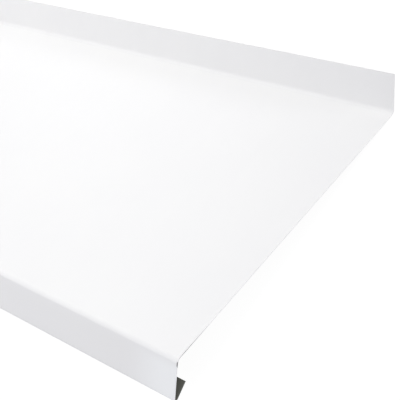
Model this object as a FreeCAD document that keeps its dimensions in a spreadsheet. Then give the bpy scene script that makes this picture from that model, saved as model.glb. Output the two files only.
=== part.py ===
"""Parapet coping: one length of thin coated sheet, lying as it comes to rest on a floor.

The section is the same all along: an upstand at the back, a wide flat deck, a fascia that leans
outward at the front, and a return folded up and back under the fascia, so that water drips clear.
It rests on two bends: the drip bend between fascia and return, and the bend under the upstand.
Lengths are in millimetres and angles in degrees. Each flange is measured on the coated outer face,
up to the sharp corner where the two faces beside a bend would meet.
X runs along the coping, Y from its front to its back, and Z is up.
The origin is on the floor, midway along the coping and midway between its front and its back.
"""

import FreeCAD, Part
import math
import os

import Sketcher


# Driving sizes: name, value, meaning

SIZES = (
    ("coping_length", "1250", "length of the coping"),
    ("deck_width", "250", "deck, from the fascia's corner to the upstand's corner"),
    ("upstand_height", "30", "upstand, from the deck's corner to the free edge"),
    ("fascia_height", "30", "fascia, from the deck's corner to the return's corner"),
    ("return_length", "15.5", "return, from the fascia's corner to the free edge"),
    ("sheet_thickness", "0.5", "thickness of the sheet"),
    ("upstand_angle", "96", "angle between the deck and the upstand"),
    ("fascia_angle", "113.5", "angle between the deck and the fascia"),
    ("return_angle", "35", "angle between the fascia and the return"),
    ("rear_bend_radius", "3", "inside radius of the bend under the upstand"),
    ("front_bend_radius", "3.5", "inside radius of the bend over the fascia"),
    ("drip_bend_radius", "1", "inside radius of the bend between fascia and return"),
)


def make_sheet(doc):
    """Write the driving sizes into a spreadsheet, with a name for each."""
    sheet = doc.addObject("Spreadsheet::Sheet", "Sizes")
    for row, (name, value, meaning) in enumerate(SIZES, start=1):
        sheet.set("A%d" % row, name)
        sheet.set("B%d" % row, value)
        sheet.set("C%d" % row, meaning)
        sheet.setAlias("B%d" % row, name)
    doc.recompute()
    return sheet


# Layout of the section in its plane, across and up


def along(angle):
    """Unit vector at an angle in degrees above the direction from front to back."""
    return FreeCAD.Vector(math.cos(math.radians(angle)), math.sin(math.radians(angle)), 0)


def bend_centre(corner, first, second, radius):
    """Centre of the circle that touches both rays from a corner."""
    middle = first + second
    middle.normalize()
    half_angle = first.getAngle(second) / 2
    return corner + middle * (radius / math.sin(half_angle))


def section_layout(sheet):
    """Work out where the section's corners, bends and free edges lie when it rests on the floor.

    The deck is first laid level, with the fascia's corner at zero. The section is then turned until
    the drip bend and the rear bend touch the floor together, and moved so that it is centred.
    """
    thickness = sheet.sheet_thickness
    rear_corner = FreeCAD.Vector(sheet.deck_width, 0, 0)
    front_corner = FreeCAD.Vector(0, 0, 0)
    upstand = along(180 - sheet.upstand_angle)
    fascia = along(-sheet.fascia_angle)
    drip_corner = front_corner + fascia * sheet.fascia_height
    lip = along(180 - sheet.fascia_angle - sheet.return_angle)
    places = {
        "upstand_edge": rear_corner + upstand * sheet.upstand_height,
        "rear_corner": rear_corner,
        "front_corner": front_corner,
        "drip_corner": drip_corner,
        "return_edge": drip_corner + lip * sheet.return_length,
        "rear_centre": bend_centre(rear_corner, along(180), upstand, sheet.rear_bend_radius),
        "front_centre": bend_centre(front_corner, along(0), fascia, sheet.front_bend_radius + thickness),
        "drip_centre": bend_centre(drip_corner, fascia * -1, lip, sheet.drip_bend_radius + thickness),
    }
    span = places["rear_centre"] - places["drip_centre"]
    slope = math.degrees(math.atan2(span.y, span.x))
    tilt = slope - math.degrees(math.asin((sheet.rear_bend_radius - sheet.drip_bend_radius) / span.Length))
    turn = FreeCAD.Rotation(FreeCAD.Vector(0, 0, 1), -tilt)
    places = {name: turn.multVec(place) for name, place in places.items()}
    drip_outer = sheet.drip_bend_radius + thickness
    rear_face = places["upstand_edge"] + turn.multVec(along(90 - sheet.upstand_angle)) * thickness
    front = places["drip_centre"].x - drip_outer
    floor = places["drip_centre"].y - drip_outer
    shift = FreeCAD.Vector(-(front + rear_face.x) / 2, -floor, 0)
    return {name: place + shift for name, place in places.items()}, -tilt


# Section sketch

START, END, CENTRE = range(1, 4)
ACROSS_AXIS, UP_AXIS = range(-1, -3, -1)


def section_outline(places, turn, sheet):
    """List the section's flats, bends and cut edges, and the points that its sizes are measured from.

    The outline runs down the coated face from the upstand's free edge to the return's free edge,
    and comes back along the plain face. Both arcs of a bend share a centre, so the thickness holds.
    """
    thickness = sheet.sheet_thickness

    def arc(centre, radius, first, last):
        circle = Part.Circle(places[centre], FreeCAD.Vector(0, 0, 1), radius)
        return Part.ArcOfCircle(circle, math.radians(first + turn), math.radians(last + turn))

    def bend(centre, inside, first, last):
        return [arc(centre, radius, first, last) for radius in (inside, inside + thickness)]

    def flange(begin, finish):
        return Part.LineSegment(begin, finish)

    def moved(place, angle):
        return place + along(angle + turn) * thickness

    # Each bend turns between the directions square to its two flanges.
    square_to_upstand = 90 - sheet.upstand_angle
    square_to_fascia = 270 - sheet.fascia_angle
    square_to_return = 450 - sheet.fascia_angle - sheet.return_angle
    rear_in, rear_out = bend("rear_centre", sheet.rear_bend_radius, -90, square_to_upstand)
    front_in, front_out = bend("front_centre", sheet.front_bend_radius, 90, square_to_fascia)
    drip_in, drip_out = bend("drip_centre", sheet.drip_bend_radius, square_to_fascia, square_to_return)

    upstand_edge = places["upstand_edge"]
    return_edge = places["return_edge"]
    upstand_back = moved(upstand_edge, square_to_upstand)
    return_top = moved(return_edge, 180 + square_to_return)
    outline = (
        ("upstand", flange(upstand_edge, rear_in.EndPoint)),
        ("rear_coated", rear_in),
        ("deck", flange(rear_in.StartPoint, front_out.StartPoint)),
        ("front_coated", front_out),
        ("fascia", flange(front_out.EndPoint, drip_out.StartPoint)),
        ("drip_coated", drip_out),
        ("return", flange(drip_out.EndPoint, return_edge)),
        ("return_cut", flange(return_edge, return_top)),
        ("return_plain", flange(return_top, drip_in.EndPoint)),
        ("drip_plain", drip_in),
        ("fascia_plain", flange(drip_in.StartPoint, front_in.EndPoint)),
        ("front_plain", front_in),
        ("deck_plain", flange(front_in.StartPoint, rear_out.StartPoint)),
        ("rear_plain", rear_out),
        ("upstand_plain", flange(rear_out.EndPoint, upstand_back)),
        ("upstand_cut", flange(upstand_back, upstand_edge)),
    )

    # The sharp corners and the two ends of the overall width are points that are not part of the sheet.
    front_most = places["drip_centre"] - FreeCAD.Vector(drip_out.Radius, 0, 0)
    marks = (
        ("rear_corner", places["rear_corner"]),
        ("front_corner", places["front_corner"]),
        ("drip_corner", places["drip_corner"]),
        ("front_most", front_most),
        ("rear_most", FreeCAD.Vector(upstand_back.x, front_most.y, 0)),
    )
    return outline, marks


def draw_section(sketch, sheet):
    """Draw the folded section and tie every size of it to the driving sizes."""
    places, turn = section_layout(sheet)
    outline, marks = section_outline(places, turn, sheet)
    shape = dict(outline)
    line = {name: sketch.addGeometry(piece, False) for name, piece in outline}
    mark = {name: sketch.addGeometry(Part.Point(place), True) for name, place in marks}

    def tie(kind, *what):
        return sketch.addConstraint(Sketcher.Constraint(kind, *what))

    def size(name, expression, kind, *what):
        index = tie(kind, *what)
        sketch.renameConstraint(index, name)
        sketch.setExpression("Constraints." + name, expression)

    # Joins: each bend is tangent to the flanges beside it, and the cut edges close the outline.
    joins = (
        ("upstand", END, "rear_coated", END),
        ("deck", START, "rear_coated", START),
        ("deck", END, "front_coated", START),
        ("fascia", START, "front_coated", END),
        ("fascia", END, "drip_coated", START),
        ("return", START, "drip_coated", END),
        ("return_plain", END, "drip_plain", END),
        ("fascia_plain", START, "drip_plain", START),
        ("fascia_plain", END, "front_plain", END),
        ("deck_plain", START, "front_plain", START),
        ("deck_plain", END, "rear_plain", START),
        ("upstand_plain", START, "rear_plain", END),
    )
    for flat, flat_end, bend, bend_end in joins:
        tie("Tangent", line[flat], flat_end, line[bend], bend_end)
    for bend in ("rear", "front", "drip"):
        tie("Coincident", line[bend + "_coated"], CENTRE, line[bend + "_plain"], CENTRE)
    for flat in ("upstand", "return"):
        tie("Parallel", line[flat], line[flat + "_plain"])
        tie("Perpendicular", line[flat], line[flat + "_cut"])
    tie("Coincident", line["return"], END, line["return_cut"], START)
    tie("Coincident", line["return_cut"], END, line["return_plain"], START)
    tie("Coincident", line["upstand_plain"], END, line["upstand_cut"], START)
    tie("Coincident", line["upstand_cut"], END, line["upstand"], START)

    # Sharp corners: each lies on the coated faces at both sides of its bend.
    corners = (
        ("rear_corner", "upstand", "deck"),
        ("front_corner", "deck", "fascia"),
        ("drip_corner", "fascia", "return"),
    )
    for corner, before, after in corners:
        tie("PointOnObject", mark[corner], START, line[before])
        tie("PointOnObject", mark[corner], START, line[after])

    # Bend radii: the coated face is the inner one at the rear bend and the outer one at the others.
    bends = (
        ("rear", "rear_coated", "rear_plain"),
        ("front", "front_plain", "front_coated"),
        ("drip", "drip_plain", "drip_coated"),
    )
    for bend, inner, outer in bends:
        inside = "Sizes.%s_bend_radius" % bend
        outside = inside + " + Sizes.sheet_thickness"
        size(bend + "_inside", inside, "Radius", line[inner], shape[inner].Radius)
        size(bend + "_outside", outside, "Radius", line[outer], shape[outer].Radius)

    # Flange widths, between sharp corners and free edges.
    widths = (
        ("upstand_height", mark["rear_corner"], START, line["upstand"], START),
        ("deck_width", mark["rear_corner"], START, mark["front_corner"], START),
        ("fascia_height", mark["front_corner"], START, mark["drip_corner"], START),
        ("return_length", mark["drip_corner"], START, line["return"], END),
    )
    for name, *ends in widths:
        size(name, "Sizes." + name, "Distance", *ends, getattr(sheet, name))

    # Fold angles, between the flanges on either side of each bend.
    folds = (
        ("upstand_angle", line["upstand"], END, line["deck"], START),
        ("fascia_angle", line["fascia"], START, line["deck"], END),
        ("return_angle", line["return"], START, line["fascia"], END),
    )
    for name, *sides in folds:
        size(name, "Sizes.%s * 1deg" % name, "Angle", *sides, math.radians(getattr(sheet, name)))

    # Rest: both lower bends touch the floor, and the overall width is centred over the origin.
    tie("Tangent", line["drip_coated"], ACROSS_AXIS)
    tie("Tangent", line["rear_plain"], ACROSS_AXIS)
    tie("PointOnObject", mark["front_most"], START, line["drip_coated"])
    tie("Horizontal", mark["front_most"], START, line["drip_coated"], CENTRE)
    tie("Vertical", mark["rear_most"], START, line["upstand_cut"], START)
    tie("Symmetric", mark["front_most"], START, mark["rear_most"], START, UP_AXIS)


# Folded sheet


def make_coping(doc, sheet):
    """Carry the section along the coping's length, half of it to each side of the origin."""
    body = doc.addObject("PartDesign::Body", "Coping")
    body.Label = "coping_sheet"
    body.Placement = FreeCAD.Placement()
    end_plane = next(plane for plane in body.Origin.OriginFeatures if plane.Role == "YZ_Plane")
    sketch = body.newObject("Sketcher::SketchObject", "Section")
    sketch.AttachmentSupport = [(end_plane, "")]
    sketch.MapMode = "FlatFace"
    draw_section(sketch, sheet)
    doc.recompute()
    run = body.newObject("PartDesign::Pad", "Run")
    run.Profile = sketch
    run.SideType = "Symmetric"
    run.setExpression("Length", "Sizes.coping_length")
    sketch.Visibility = False
    doc.recompute()
    return body


def check(doc, bodies):
    """Stop if any object failed, or any solid is missing or unsound."""
    for thing in doc.Objects:
        if "Invalid" in thing.State or "Error" in thing.State:
            raise RuntimeError("%s did not rebuild" % thing.Label)
    for body in bodies:
        shape = body.Shape
        if shape.isNull() or not shape.isValid() or len(shape.Solids) != 1:
            raise RuntimeError("%s is not one sound solid" % body.Label)


def main():
    """Build the coping and write its solid."""
    doc = FreeCAD.newDocument("ParapetCoping")
    sheet = make_sheet(doc)
    bodies = [make_coping(doc, sheet)]
    doc.recompute()
    check(doc, bodies)
    os.makedirs("parts", exist_ok=True)
    for body in bodies:
        body.Shape.exportStep(os.path.join("parts", body.Label + ".step"))


main()
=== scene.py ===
"""A white parapet coping lying on a pale floor, in soft studio light.

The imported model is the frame. One piece is dressed here: the folded sheet, a numpy surface that stands
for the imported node, with its white coat, its grey backing coat and its bare cut edges.
Places and lengths are in metres, in the frame's own axes: X along the coping, Y from the fascia at its
front to the upstand at its back, and Z up from the floor.
"""

import logging
import math
from dataclasses import dataclass, field
from enum import Enum
from typing import Any, Iterable

import bpy
import numpy as np
from mathutils import Matrix, Vector


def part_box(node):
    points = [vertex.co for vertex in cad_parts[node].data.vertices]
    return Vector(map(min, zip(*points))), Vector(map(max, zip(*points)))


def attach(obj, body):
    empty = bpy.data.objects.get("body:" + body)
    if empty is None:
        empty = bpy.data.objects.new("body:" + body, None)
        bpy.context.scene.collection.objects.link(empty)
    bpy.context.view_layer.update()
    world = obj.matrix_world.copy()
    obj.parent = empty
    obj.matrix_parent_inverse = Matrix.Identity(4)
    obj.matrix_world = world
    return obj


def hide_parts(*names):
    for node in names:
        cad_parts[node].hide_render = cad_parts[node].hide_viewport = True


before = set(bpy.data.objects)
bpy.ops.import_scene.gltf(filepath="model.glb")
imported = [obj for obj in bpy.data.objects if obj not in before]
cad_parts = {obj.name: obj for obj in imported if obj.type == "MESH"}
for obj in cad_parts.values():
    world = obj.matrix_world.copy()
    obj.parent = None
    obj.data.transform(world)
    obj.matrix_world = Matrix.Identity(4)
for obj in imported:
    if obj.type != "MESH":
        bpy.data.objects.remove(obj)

LOG = logging.getLogger("coping")
MM = 0.001
COAT_IOR = 1.5
WARM = (1.02, 1.02, 0.95)

Number = int | float
Triple = tuple[float, float, float]
Colour = Triple
Grid = np.ndarray
Socket = bpy.types.NodeSocket


class Face(Enum):
    """The kinds of face on the sheet, with the place of each one's material on the piece."""

    COATED = 0
    PLAIN = 1
    CUT = 2


class Wire:
    """One value in a material's node tree, with Python's arithmetic on it."""

    def __init__(self, bench: "Bench", socket: Socket) -> None:
        """Wrap a socket.

        Args:
            bench: the node bench that the socket is on.
            socket: the output that carries the value.
        """
        self.bench = bench
        self.socket = socket

    def _math(self, operation: str, *values: "Wire | Number") -> "Wire":
        """Add a Math node.

        Args:
            operation: the node's operation.
            values: its inputs in order.

        Returns:
            The node's result.
        """
        node = self.bench.add("ShaderNodeMath", {"operation": operation}, dict(enumerate(values)))
        return Wire(self.bench, node.outputs[0])

    def __add__(self, other: "Wire | Number") -> "Wire":
        """Sum."""
        return self._math("ADD", self, other)

    def __sub__(self, other: "Wire | Number") -> "Wire":
        """Difference."""
        return self._math("SUBTRACT", self, other)

    def __rsub__(self, other: Number) -> "Wire":
        """A number less this."""
        return self._math("SUBTRACT", other, self)

    def __mul__(self, other: "Wire | Number") -> "Wire":
        """Product."""
        return self._math("MULTIPLY", self, other)

    def __truediv__(self, other: "Wire | Number") -> "Wire":
        """Quotient."""
        return self._math("DIVIDE", self, other)

    def __rtruediv__(self, other: Number) -> "Wire":
        """A number over this."""
        return self._math("DIVIDE", other, self)

    def __abs__(self) -> "Wire":
        """Size without sign."""
        return self._math("ABSOLUTE", self)

    __radd__ = __add__
    __rmul__ = __mul__

    def larger(self, other: "Wire | Number") -> "Wire":
        """The larger of this and another value."""
        return self._math("MAXIMUM", self, other)

    def centred(self) -> "Wire":
        """Noise about one half, moved so that it lies about zero."""
        return self - 0.5

    def ramp(self, low: float, high: float) -> "Wire":
        """Rise smoothly from 0 to 1 between two values.

        Args:
            low: where the rise begins.
            high: where it ends.

        Returns:
            The smoothed share.
        """
        settings = {"interpolation_type": "SMOOTHSTEP"}
        values = {"Value": self, "From Min": low, "From Max": high}
        node = self.bench.add("ShaderNodeMapRange", settings, values)
        return Wire(self.bench, node.outputs["Result"])

    def near(self, middle: float, reach: float, core: float) -> "Wire":
        """Stay at 1 close to a value, and fall smoothly to 0 on both sides of it.

        Args:
            middle: the value.
            reach: how far from it the fall ends.
            core: the share of the reach over which the result stays at 1.

        Returns:
            The share.
        """
        return 1.0 - (abs(self - middle) / reach).ramp(core, 1.0)


class Bench:
    """A material under construction: its node tree and the few ways that nodes are added to it."""

    def __init__(self, name: str) -> None:
        """Start a material with an empty node tree.

        Args:
            name: the material's name.
        """
        self.material = bpy.data.materials.new(name)
        self.material.use_nodes = True
        self.tree = self.material.node_tree
        self.tree.nodes.clear()

    def add(
        self,
        kind: str,
        settings: dict[str, Any] | None = None,
        values: dict[Any, Any] | None = None,
    ) -> bpy.types.Node:
        """Add a node, set it up, and then fill its sockets.

        Args:
            kind: the node's type.
            settings: the node's own properties, set before its sockets are filled.
            values: numbers, colours, wires or sockets, by input name or place.

        Returns:
            The node.
        """
        node = self.tree.nodes.new(kind)
        for name, value in (settings or {}).items():
            setattr(node, name, value)
        for name, value in (values or {}).items():
            if isinstance(value, Wire):
                value = value.socket
            if isinstance(value, Socket):
                self.tree.links.new(value, node.inputs[name])
            else:
                node.inputs[name].default_value = value
        return node

    def places(self) -> Socket:
        """The place of each point on the object."""
        return self.add("ShaderNodeTexCoord").outputs["Object"]

    def stored(self, name: str) -> Wire:
        """A value that is stored on the mesh.

        Args:
            name: the attribute's name.

        Returns:
            The value.
        """
        return Wire(self, self.add("ShaderNodeAttribute", {"attribute_name": name}).outputs["Fac"])

    def pair(self, operation: str, first: Socket, second: Triple) -> bpy.types.Node:
        """Work out one vector from two, or one number from two vectors.

        Args:
            operation: the Vector Math node's operation.
            first: the places that it is worked out from.
            second: the fixed vector.

        Returns:
            The node.
        """
        return self.add("ShaderNodeVectorMath", {"operation": operation}, {0: first, 1: second})

    def stretched(self, places: Socket, scale: Triple) -> Socket:
        """Places multiplied axis by axis, which draws a pattern out along an axis with a small factor."""
        return self.pair("MULTIPLY", places, scale).outputs["Vector"]

    def distance(self, places: Socket, middle: Triple) -> Wire:
        """Distance of each place from a point, in metres."""
        return Wire(self, self.pair("DISTANCE", places, middle).outputs["Value"])

    def along(self, places: Socket) -> Wire:
        """How far each place lies along the coping from its middle, in metres."""
        return Wire(self, self.add("ShaderNodeSeparateXYZ", None, {"Vector": places}).outputs["X"])

    def noise(self, places: Socket, size: float, detail: float = 2.0, rough: float = 0.5) -> Wire:
        """Smooth noise about one half.

        Args:
            places: the places to read it at.
            size: the width of one blotch, in metres.
            detail: how many finer layers it has.
            rough: how strong the finer layers are.

        Returns:
            The noise, from 0 to 1.
        """
        values = {"Vector": places, "Scale": 1.0 / size, "Detail": detail, "Roughness": rough}
        return Wire(self, self.add("ShaderNodeTexNoise", None, values).outputs["Fac"])

    def blend(self, share: Wire | float, first: Colour | Socket, second: Colour | Socket) -> Socket:
        """Mix two colours.

        Args:
            share: how much of the second colour there is.
            first: a colour or a colour socket.
            second: a colour or a colour socket.

        Returns:
            The mixed colour.
        """
        sides = [(*side, 1.0) if isinstance(side, tuple) else side for side in (first, second)]
        values = {0: share, 6: sides[0], 7: sides[1]}
        return self.add("ShaderNodeMix", {"data_type": "RGBA"}, values).outputs[2]

    def relief(self, height: Wire, depth: float) -> Socket:
        """Turn a height into a bumped normal.

        Args:
            height: the height, in shares of the depth.
            depth: the full depth of the relief, in metres.

        Returns:
            The normal.
        """
        return self.add("ShaderNodeBump", None, {"Height": height, "Distance": depth}).outputs["Normal"]

    def finish(self, values: dict[str, Any]) -> bpy.types.Material:
        """Close the material with a surface shader.

        Args:
            values: the shader's sockets.

        Returns:
            The finished material.
        """
        shader = self.add("ShaderNodeBsdfPrincipled", None, values)
        self.add("ShaderNodeOutputMaterial", None, {"Surface": shader.outputs[0]})
        return self.material


@dataclass(frozen=True)
class Bend:
    """One fold of the sheet: where it lies on the coated face, and how far it reaches."""

    middle: float
    reach: float


@dataclass(frozen=True)
class WhiteCoat:
    """Baked white coat: a fine orange peel under a low sheen, a touch duller where it was folded.

    It has a painted highlight over the front bend and the fascia near each end, and painted shade
    on the front bend at each very end. The half length is the coping's, from its middle to its end.
    The values that end in sheen say how far a pattern moves the roughness.
    """

    bends: tuple[Bend, ...]
    half_length: float
    colour: Colour = (0.834, 0.833, 0.835)
    shade: Colour = (0.824, 0.823, 0.828)
    shade_range: tuple[float, float] = (0.3, 0.7)
    # Painted highlight: the paler colour over the front bend and the fascia near each end.
    pale: Colour = (0.908, 0.920, 0.930)
    highlight_reach: float = 40.0 * MM
    highlight_full: float = 6.0 * MM
    highlight_before_bend: float = 2.0 * MM
    highlight_past_bend: float = 8.0 * MM
    # Painted shade: the dark colour on the front bend at each very end.
    painted_bend_shade: Colour = (0.16, 0.16, 0.16)
    bend_shade_width: float = 0.5 * MM
    bend_shade_past_bend: float = 2.5 * MM
    bend_shade_reach: float = 2.0 * MM
    bend_shade_core: float = 0.3
    sheen: float = 0.42
    cloud_sheen: float = 0.06
    grain_sheen: float = 0.05
    fold_sheen: float = 0.07
    fold_core: float = 0.4
    peel_size: float = 1.6 * MM
    peel_depth: float = 0.012 * MM
    grain_size: float = 0.35 * MM
    grain_height: float = 0.25
    streak: Triple = (1.0, 0.06, 0.06)
    streak_size: float = 7.0 * MM
    streak_share: float = 0.2
    cloud_size: float = 90.0 * MM

    def painted_highlight_share(self, along: Wire, across: Wire) -> Wire:
        """How much painted highlight the coat has, by place on the sheet.

        Args:
            along: the distance along the coping from its middle.
            across: the distance from the upstand's edge along the coated face.

        Returns:
            The share of the painted highlight's paler colour.
        """
        bend, end = self.bends[1].middle, self.half_length
        near_end = abs(along).ramp(end - self.highlight_reach, end - self.highlight_full)
        return near_end * across.ramp(bend - self.highlight_before_bend, bend + self.highlight_past_bend)

    def painted_bend_shade_share(self, along: Wire, across: Wire) -> Wire:
        """Where painted shade darkens the coat at each end of the front bend, by place on the sheet.

        Args:
            along: the distance along the coping from its middle.
            across: the distance from the upstand's edge along the coated face.

        Returns:
            The share of the painted shade's dark colour.
        """
        middle, end = self.bends[1].middle + self.bend_shade_past_bend, self.half_length
        beside = across.near(middle, self.bend_shade_reach, self.bend_shade_core)
        return beside * abs(along).ramp(end - self.bend_shade_width, end - self.bend_shade_width / 2)

    def material(self) -> bpy.types.Material:
        """Make the coat's material."""
        bench = Bench("white_coat")
        places = bench.places()
        along, across = bench.along(places), bench.stored("across")
        folded = sum(across.near(bend.middle, bend.reach, self.fold_core) for bend in self.bends)
        cloud = bench.noise(places, self.cloud_size, detail=3.0)
        streaks = bench.noise(bench.stretched(places, self.streak), self.streak_size)
        peel = bench.noise(places, self.peel_size, detail=1.0)
        grain = bench.noise(places, self.grain_size)
        tone = cloud * (1.0 - self.streak_share) + streaks * self.streak_share
        plain = bench.blend(tone.ramp(*self.shade_range), self.colour, self.shade)
        # Painted highlight near each end; the painted shade at the front bend is blended in below.
        coat = bench.blend(self.painted_highlight_share(along, across), plain, self.pale)
        moved = cloud.centred() * self.cloud_sheen + grain.centred() * self.grain_sheen
        return bench.finish({
            "Base Color": bench.blend(self.painted_bend_shade_share(along, across), coat, self.painted_bend_shade),
            "Roughness": self.sheen + moved + folded * self.fold_sheen,
            "Normal": bench.relief(peel + grain.centred() * self.grain_height, self.peel_depth),
            "IOR": COAT_IOR,
        })


@dataclass(frozen=True)
class BackingCoat:
    """Thin grey backing coat: matt, cloudy, with faint marks along the way the sheet was rolled."""

    colour: Colour = (0.251, 0.255, 0.219)
    shade: Colour = (0.212, 0.215, 0.186)
    shade_range: tuple[float, float] = (0.35, 0.65)
    sheen: float = 0.58
    streak_sheen: float = 0.12
    cloud_size: float = 40.0 * MM
    streak: Triple = (1.0, 0.03, 0.03)
    streak_size: float = 3.0 * MM
    streak_share: float = 0.5
    grain_size: float = 0.5 * MM
    grain_depth: float = 0.01 * MM

    def material(self) -> bpy.types.Material:
        """Make the coat's material."""
        bench = Bench("backing_coat")
        places = bench.places()
        cloud = bench.noise(places, self.cloud_size, detail=4.0, rough=0.6)
        streaks = bench.noise(bench.stretched(places, self.streak), self.streak_size, detail=3.0)
        grain = bench.noise(places, self.grain_size)
        tone = cloud * (1.0 - self.streak_share) + streaks * self.streak_share
        return bench.finish({
            "Base Color": bench.blend(tone.ramp(*self.shade_range), self.colour, self.shade),
            "Roughness": self.sheen + streaks.centred() * self.streak_sheen,
            "Normal": bench.relief(grain, self.grain_depth),
            "IOR": COAT_IOR,
        })


@dataclass(frozen=True)
class CutEdge:
    """Sheared edge: a bright smooth band under the coated face, and a duller torn band below it.

    It is darker on the deck's edge beside the front bend, and carries painted shade on that bend and
    along the return. The depth on the mesh runs from 0 at the coated face to 1 at the plain one.
    """

    front: Bend
    drip: Bend
    coat: Colour = (0.94, 0.94, 0.94)
    bright: Colour = (0.96, 0.96, 0.96)
    torn: Colour = (0.92, 0.92, 0.92)
    # Dark colour: darker beside the front bend, and painted shade on that bend and along the return.
    dark_and_painted_shade: Colour = (0.11, 0.11, 0.11)
    coat_share: float = 0.08
    bright_share: float = 0.45
    ragged_share: float = 0.2
    metal_share: float = 0.15
    sheen: float = 0.38
    line_sheen: float = 0.3
    line_size: float = 0.25 * MM
    line_depth: float = 0.02 * MM
    # Where the painted shade at the front bend lies.
    shade_past_bend: float = 2.6 * MM
    shade_reach: float = 2.8 * MM
    shade_core: float = 0.3
    # Where the deck's edge is darker beside the front bend.
    dark_reach: float = 32.0 * MM
    dark_full: float = 9.0 * MM
    dark_end: float = 5.0 * MM
    dark_share: float = 0.88

    def dark_and_painted_shade_share(self, across: Wire) -> Wire:
        """How dark the edge is, by distance across: darker beside the front bend, painted shade on it and
        along the return.

        Args:
            across: the distance from the upstand's edge along the coated face.

        Returns:
            The share of the dark colour.
        """
        bend = self.front.middle
        # Painted shade at the front bend.
        shade_at_bend = across.near(bend + self.shade_past_bend, self.shade_reach, self.shade_core)
        # Darker on the deck's edge beside the front bend.
        begin = across.ramp(bend - self.dark_reach, bend - self.dark_full)
        kept = 1.0 - across.ramp(bend - self.dark_end, bend + self.shade_past_bend)
        # Painted shade along the return.
        behind = across.ramp(self.drip.middle, self.drip.middle + self.drip.reach)
        return shade_at_bend.larger(begin * kept * self.dark_share).larger(behind)

    def material(self) -> bpy.types.Material:
        """Make the edge's material."""
        bench = Bench("cut_edge")
        places = bench.places()
        depth = bench.stored("depth")
        lines = bench.noise(places, self.line_size, detail=3.0, rough=0.6)
        ragged = depth + lines.centred() * self.ragged_share
        half = self.ragged_share / 2
        torn = ragged.ramp(self.bright_share - half, self.bright_share + half)
        coat = 1.0 - depth.ramp(self.coat_share / 2, self.coat_share)
        fresh = bench.blend(coat, bench.blend(torn, self.bright, self.torn), self.coat)
        return bench.finish({
            # Darkening beside the front bend, and painted shade on it and along the return.
            "Base Color": bench.blend(self.dark_and_painted_shade_share(bench.stored("across")), fresh, self.dark_and_painted_shade),
            "Metallic": (1.0 - coat) * self.metal_share,
            "Roughness": self.sheen + lines.centred() * self.line_sheen,
            "Normal": bench.relief(lines, self.line_depth),
        })


@dataclass(frozen=True)
class PaleFloor:
    """Plain pale studio floor, lit from within round the end that the photograph shows, and plain beyond.

    The lit part shadows only faintly, as a shooting table does.
    """

    lit_colour: Colour = (0.10, 0.10, 0.10)
    plain_colour: Colour = (0.30, 0.30, 0.30)
    lit_glow: Colour = (0.945, 0.945, 0.945)
    plain_glow: Colour = (0.402, 0.402, 0.421)
    middle: Triple = (0.465, 0.05, 0.0)
    lit_radius: float = 0.33
    plain_radius: float = 0.90
    mottle_size: float = 0.35
    mottle_share: float = 0.04
    sheen: float = 0.75
    mottle_sheen: float = 0.1

    def material(self) -> bpy.types.Material:
        """Make the floor's material."""
        bench = Bench("pale_floor")
        places = bench.places()
        mottle = bench.noise(places, self.mottle_size, detail=4.0)
        plain = bench.distance(places, self.middle).ramp(self.lit_radius, self.plain_radius)
        share = plain * (1.0 - self.mottle_share) + mottle * self.mottle_share
        return bench.finish({
            "Base Color": bench.blend(share, self.lit_colour, self.plain_colour),
            "Roughness": self.sheen + mottle.centred() * self.mottle_sheen,
            "Emission Color": bench.blend(plain, self.lit_glow, self.plain_glow),
            "Emission Strength": 1.0,
            "Specular IOR Level": 0.0,
        })


@dataclass(frozen=True)
class Sine:
    """One slow wave along the coping: its height, how fast it turns, and the angle it starts at."""

    height: float
    pace: float
    start: float

    def at(self, along: Grid) -> Grid:
        """The height times the sine of pace times distance plus start, with angles in radians."""
        return self.height * np.sin(along * self.pace + self.start)


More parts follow.
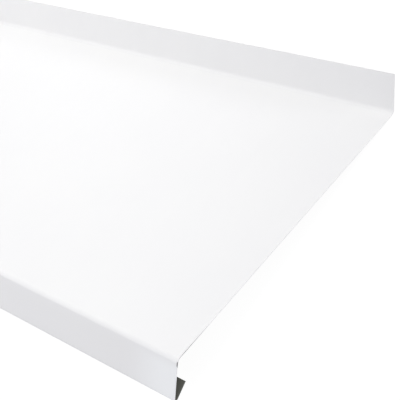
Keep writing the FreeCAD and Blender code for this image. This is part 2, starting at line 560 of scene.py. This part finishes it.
@dataclass
class FoldedSheet:
    """The coping: one length of coated sheet, folded along its edges.

    Each flange is measured on the coated face, up to the sharp corners beside it. Angles in degrees
    are those between neighbouring flanges.
    """

    node: str = "coping_sheet"
    body: str = "root"
    deck_width: float = 250 * MM
    upstand_height: float = 30 * MM
    fascia_height: float = 30 * MM
    return_length: float = 15.5 * MM
    thickness: float = 0.5 * MM
    upstand_angle: float = 96.0
    fascia_angle: float = 113.5
    return_angle: float = 35.0
    rear_radius: float = 3 * MM
    front_radius: float = 3.5 * MM
    drip_radius: float = 1 * MM
    stations: int = 150
    bend_steps: int = 16
    flat_steps: tuple[int, int, int, int] = (8, 56, 8, 5)
    bend_margin: float = 1.5 * MM
    sharp_angle: float = 40.0
    deck_wave: float = 0.10 * MM
    deck_sines: tuple[Sine, ...] = (Sine(1.0, 11.3, 0.6), Sine(0.6, 23.9, 2.1), Sine(0.35, 41.7, 4.0))
    deck_drift: Sine = Sine(0.5, 6.1, 1.2)
    edge_wave: float = 0.06 * MM
    edge_sines: tuple[Sine, ...] = (Sine(1.0, 17.7, 0.9), Sine(0.5, 37.1, 2.7))
    bends: list[Bend] = field(default_factory=list)

    def section(self) -> tuple[Grid, Grid, Grid]:
        """Draw the coated face across the sheet, from the upstand's edge to the return's edge.

        The heading stays constant along a flat and turns evenly with distance along a bend. Each step
        is the chord of its piece of arc: its length is the step's own length times the sine of half
        the turn over half the turn, in the direction of the heading half-way along the step. The
        places of the bends are kept for the finishes.

        Returns:
            The places across and up, the unit normals out of the coated face, and the distance of each
            point from the upstand's edge along the coated face.
        """
        # The coated face is inside the upstand's bend, and outside the other two, which turn the other way.
        ways = np.array([-1.0, 1.0, 1.0])
        outside = np.array([0.0, self.thickness, self.thickness])
        angles = np.array([self.upstand_angle, self.fascia_angle, self.return_angle])
        turns = np.radians(ways * (180.0 - angles))
        coated_radii = np.array([self.rear_radius, self.front_radius, self.drip_radius]) + outside
        setbacks = coated_radii * np.tan(np.abs(turns) / 2)
        widths = np.array([self.upstand_height, self.deck_width, self.fascia_height, self.return_length])
        flats = widths - np.append(setbacks, 0.0) - np.insert(setbacks, 0, 0.0)
        arcs = coated_radii * np.abs(turns)
        steps, bent = [], []
        for place, flat in enumerate(flats):
            steps.append(np.full(self.flat_steps[place], flat / self.flat_steps[place]))
            bent.append(np.zeros(self.flat_steps[place]))
            if place < len(arcs):
                steps.append(np.full(self.bend_steps, arcs[place] / self.bend_steps))
                bent.append(np.full(self.bend_steps, turns[place] / self.bend_steps))
        step, turn = np.concatenate(steps), np.concatenate(bent)
        begin = np.radians(360.0 - self.upstand_angle)
        heading = begin + np.append(0.0, np.cumsum(turn))
        half = turn / 2
        chord = step * np.sinc(half / np.pi)
        middle = heading[:-1] + half
        path = np.cumsum(chord[:, None] * np.stack([np.cos(middle), np.sin(middle)], axis=1), axis=0)
        places = np.vstack([np.zeros((1, 2)), path])
        normals = np.stack([np.sin(heading), -np.cos(heading)], axis=1)
        ends = np.cumsum(np.insert(arcs, 0, 0.0) + flats)[:3]
        middles, reaches = ends + arcs / 2, arcs / 2 + self.bend_margin
        self.bends = [Bend(*pair) for pair in zip(middles.tolist(), reaches.tolist())]
        return places, normals, np.append(0.0, np.cumsum(step))

    def at_rest(self, places: Grid, normals: Grid) -> tuple[Grid, Grid]:
        """Turn the section until its two lowest bends touch the floor, and centre it.

        The centre of a bend is one coated radius back from any of its points. With both bends on the
        floor, the line between their centres falls by the difference of their outer radii.

        Args:
            places: the coated face, across and up.
            normals: the normals out of the coated face.

        Returns:
            The turned places and normals.
        """
        flat, bend = self.flat_steps, self.bend_steps
        rear = flat[0] + bend // 2
        drip = flat[0] + flat[1] + flat[2] + 2 * bend + bend // 2
        rear_centre = places[rear] + normals[rear] * self.rear_radius
        drip_centre = places[drip] - normals[drip] * (self.drip_radius + self.thickness)
        span = rear_centre - drip_centre
        fall = math.asin((self.rear_radius - self.drip_radius) / float(np.hypot(*span)))
        tilt = fall - math.atan2(span[1], span[0])
        turn = np.array([[math.cos(tilt), -math.sin(tilt)], [math.sin(tilt), math.cos(tilt)]])
        places, normals = places @ turn.T, normals @ turn.T
        plain = places - normals * self.thickness
        both = np.vstack([places, plain])
        lowest = drip_centre @ turn.T - np.array([0.0, self.drip_radius + self.thickness])
        middle = (both[:, 0].min() + both[:, 0].max()) / 2
        return places - np.array([middle, lowest[1]]), normals

    def wave(self, along: Grid, across: Grid) -> Grid:
        """Height of the faint waves that folding leaves in thin sheet, out of the coated face.

        Over the deck it is the square of half a turn of a sine across, which is zero at both folds,
        times slow sines along, and the cube of a whole turn of a sine across times a slow drift along.
        Towards the upstand's free edge it grows with the square of the distance from the fold.

        Args:
            along: distances along the coping, one for each station.
            across: distances across the coated face, one for each point of the section.

        Returns:
            The heights on the grid, by point across and station along.
        """
        first, second = (bend.middle for bend in self.bends[:2])
        deck = np.clip((across - first) / (second - first), 0.0, 1.0)
        slow = sum(sine.at(along) for sine in self.deck_sines)
        drift = 1.0 + self.deck_drift.at(along)
        swell = np.outer(np.sin(np.pi * deck) ** 2, slow) + np.outer(np.sin(2 * np.pi * deck) ** 3, drift)
        free = np.clip((first - across) / first, 0.0, 1.0) ** 2
        ripple = sum(sine.at(along) for sine in self.edge_sines)
        return self.deck_wave * swell + self.edge_wave * np.outer(free, ripple)

    def layers(self) -> tuple[Grid, Grid, Grid]:
        """Carry the section along the coping.

        Point (i, j) of the coated layer is point i of the section at station j, moved out by the wave
        there. The plain layer is the same, one thickness behind it.

        Returns:
            The coated layer, the plain layer, and the distances across.
        """
        low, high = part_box(self.node)
        along = np.linspace(low.x, high.x, self.stations)
        places, normals, across = self.section()
        places, normals = self.at_rest(places, normals)
        wave = self.wave(along, across)[..., None]
        shape = (len(across), self.stations)
        outward = np.zeros((*shape, 3))
        outward[..., 1:] = normals[:, None, :]
        coated = np.zeros((*shape, 3))
        coated[..., 0] = along
        coated[..., 1:] = places[:, None, :]
        coated = coated + outward * wave
        return coated, coated - outward * self.thickness, across

    def skin(self, shape: tuple[int, int]) -> tuple[Grid, Grid]:
        """Lay out the faces of the closed sheet.

        Args:
            shape: how many points lie across and along each layer.

        Returns:
            The corners of each four-sided face, and each face's kind.
        """
        coated = np.arange(shape[0] * shape[1]).reshape(shape)
        plain = coated + coated.size

        def strip(first: Grid, second: Grid) -> Grid:
            """Faces between two rows of points."""
            return np.stack([first[:-1], first[1:], second[1:], second[:-1]], axis=-1).reshape(-1, 4)

        def sheet(layer: Grid) -> Grid:
            """Faces over a whole layer."""
            rounds = [layer[:-1, :-1], layer[:-1, 1:], layer[1:, 1:], layer[1:, :-1]]
            return np.stack(rounds, axis=-1).reshape(-1, 4)

        cuts = [
            strip(plain[0], coated[0]),
            strip(coated[-1], plain[-1]),
            strip(coated[:, 0], plain[:, 0]),
            strip(plain[:, -1], coated[:, -1]),
        ]
        groups = [(sheet(coated), Face.COATED), (sheet(plain)[:, ::-1], Face.PLAIN)]
        groups += [(cut, Face.CUT) for cut in cuts]
        faces = np.concatenate([group for group, _ in groups])
        kinds = np.concatenate([np.full(len(group), kind.value) for group, kind in groups])
        return faces, kinds

    def build(self) -> bpy.types.Object:
        """Make the sheet's mesh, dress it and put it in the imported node's place.

        Returns:
            The sheet.
        """
        coated, plain, across = self.layers()
        faces, kinds = self.skin(coated.shape[:2])
        points = np.concatenate([coated.reshape(-1, 3), plain.reshape(-1, 3)])
        mesh = bpy.data.meshes.new("folded_sheet")
        mesh.from_pydata(points, [], faces)
        mesh.polygons.foreach_set("material_index", kinds)
        mesh.polygons.foreach_set("use_smooth", kinds != Face.CUT.value)
        layer = coated[..., 0].size
        spread = np.tile(np.repeat(across, self.stations), 2)
        depth = np.repeat([0.0, 1.0], layer)
        for name, values in (("across", spread), ("depth", depth)):
            mesh.attributes.new(name, "FLOAT", "POINT").data.foreach_set("value", values)
        mesh.set_sharp_from_angle(angle=math.radians(self.sharp_angle))
        piece = bpy.data.objects.new("folded_sheet", mesh)
        bpy.context.scene.collection.objects.link(piece)
        dress = {
            Face.COATED: WhiteCoat(tuple(self.bends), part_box(self.node)[1].x),
            Face.PLAIN: BackingCoat(),
            Face.CUT: CutEdge(self.bends[1], self.bends[2]),
        }
        for kind in Face:
            mesh.materials.append(dress[kind].material())
        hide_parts(self.node)
        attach(piece, self.body)
        return piece


def hang(data: bpy.types.Light, place: Triple, facing: Vector) -> bpy.types.Object:
    """Put a light in the scene, where the camera doesn't see it.

    Args:
        data: the light's own settings.
        place: where it hangs.
        facing: the direction that it shines in.

    Returns:
        The light.
    """
    light = bpy.data.objects.new(data.name, data)
    light.location = place
    light.visible_camera = False
    light.rotation_mode = "QUATERNION"
    light.rotation_quaternion = facing.to_track_quat("-Z", "Y")
    bpy.context.scene.collection.objects.link(light)
    return light


@dataclass(frozen=True)
class SoftBox:
    """A large soft light that looks at a point."""

    name: str
    place: Triple
    aim: Triple
    width: float
    power: float
    colour: Colour = (1.0, 1.0, 1.0)

    def build(self) -> bpy.types.Object:
        """Make the light."""
        data = bpy.data.lights.new(self.name, "AREA")
        data.shape = "SQUARE"
        data.size = self.width
        data.energy = self.power
        data.color = self.colour
        return hang(data, self.place, Vector(self.aim) - Vector(self.place))


@dataclass(frozen=True)
class FarLight:
    """A soft light so far off that it falls evenly on the whole object."""

    name: str
    toward: Triple
    strength: float
    spread: float = 30.0

    def build(self) -> bpy.types.Object:
        """Make the light."""
        data = bpy.data.lights.new(self.name, "SUN")
        data.energy = self.strength
        data.angle = math.radians(self.spread)
        return hang(data, (0.0, 0.0, 0.0), -Vector(self.toward))


@dataclass
class Studio:
    """The floor, the light and the camera.

    The camera stands where the photograph was taken from. Its angles are the direction from the
    object to the camera, and its roll is that of the picture.
    """

    eye: Triple = (0.8501, -0.2686, 0.3699)
    azimuth: float = 48.67
    elevation: float = 42.20
    roll: float = -18.31
    lens: float = 72.55
    film: float = 36.0
    nearest: float = 0.01
    farthest: float = 1000.0
    floor_span: float = 400.0
    sky: Colour = (0.985, 0.985, 1.03)
    sky_strength: float = 0.613
    lights: tuple[SoftBox | FarLight, ...] = (
        SoftBox("over_right", (0.15, 0.1, 1.0), (0.15, 0.0, 0.0), 0.8, 3.71, WARM),
        SoftBox("over_middle", (0.0, 0.0, 1.2), (0.0, 0.0, 0.0), 1.0, 1.44, WARM),
        SoftBox("front", (0.2, -1.4, 0.9), (0.2, 0.0, 0.0), 0.8, 2.25),
        SoftBox("front_left", (-0.9, -1.2, 0.8), (0.2, 0.0, 0.0), 0.8, 6.65),
        SoftBox("back_left", (-0.8, 1.3, 1.0), (0.2, 0.0, 0.0), 0.8, 2.38),
        FarLight("far_right", (1.0, 0.25, 0.26), 0.9),
    )

    def floor(self) -> bpy.types.Object:
        """Lay a square floor under the object.

        The floor lets the even light through from below, so that it reaches the undersides of the
        object as it does on a lit table.

        Returns:
            The floor.
        """
        half = self.floor_span / 2
        square = half * np.array([(-1, -1, 0), (1, -1, 0), (1, 1, 0), (-1, 1, 0)])
        mesh = bpy.data.meshes.new("floor")
        mesh.from_pydata(square, [], [(0, 1, 2, 3)])
        mesh.materials.append(PaleFloor().material())
        floor = bpy.data.objects.new("floor", mesh)
        bpy.context.scene.collection.objects.link(floor)
        floor.visible_diffuse = False
        floor.visible_glossy = False
        floor.visible_shadow = False
        return floor

    def world(self) -> None:
        """Fill the room with even pale light."""
        world = bpy.data.worlds.new("studio")
        world.use_nodes = True
        background = world.node_tree.nodes["Background"]
        background.inputs["Color"].default_value = (*self.sky, 1.0)
        background.inputs["Strength"].default_value = self.sky_strength
        bpy.context.scene.world = world

    def camera(self) -> bpy.types.Object:
        """Set up the photograph's camera.

        Returns:
            The camera.
        """
        turn, rise = math.radians(self.azimuth), math.radians(self.elevation)
        level = Vector((math.sin(turn), -math.cos(turn), 0.0))
        back = level * math.cos(rise) + Vector((0.0, 0.0, math.sin(rise)))
        data = bpy.data.cameras.new("photograph")
        data.lens = self.lens
        data.sensor_width = self.film
        data.clip_start, data.clip_end = self.nearest, self.farthest
        camera = bpy.data.objects.new("photograph", data)
        upright = (-back).to_track_quat("-Z", "Y").to_matrix()
        rolled = upright @ Matrix.Rotation(math.radians(self.roll), 3, "Z")
        camera.rotation_mode = "QUATERNION"
        camera.rotation_quaternion = rolled.to_quaternion()
        camera.location = self.eye
        bpy.context.scene.collection.objects.link(camera)
        bpy.context.scene.camera = camera
        return camera

    def build(self) -> None:
        """Set up the whole studio."""
        self.floor()
        self.world()
        for light in self.lights:
            light.build()
        self.camera()
        bpy.context.scene.view_settings.view_transform = "Standard"


def main() -> None:
    """Build the scene."""
    logging.basicConfig(level=logging.INFO, format="%(name)s: %(message)s")
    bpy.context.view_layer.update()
    sheet = FoldedSheet().build()
    LOG.info("%s: %d faces in place of %s", sheet.name, len(sheet.data.polygons), FoldedSheet.node)
    Studio().build()
    LOG.info("studio: floor, sky, lights and camera")


if __name__ == "__main__":
    main()
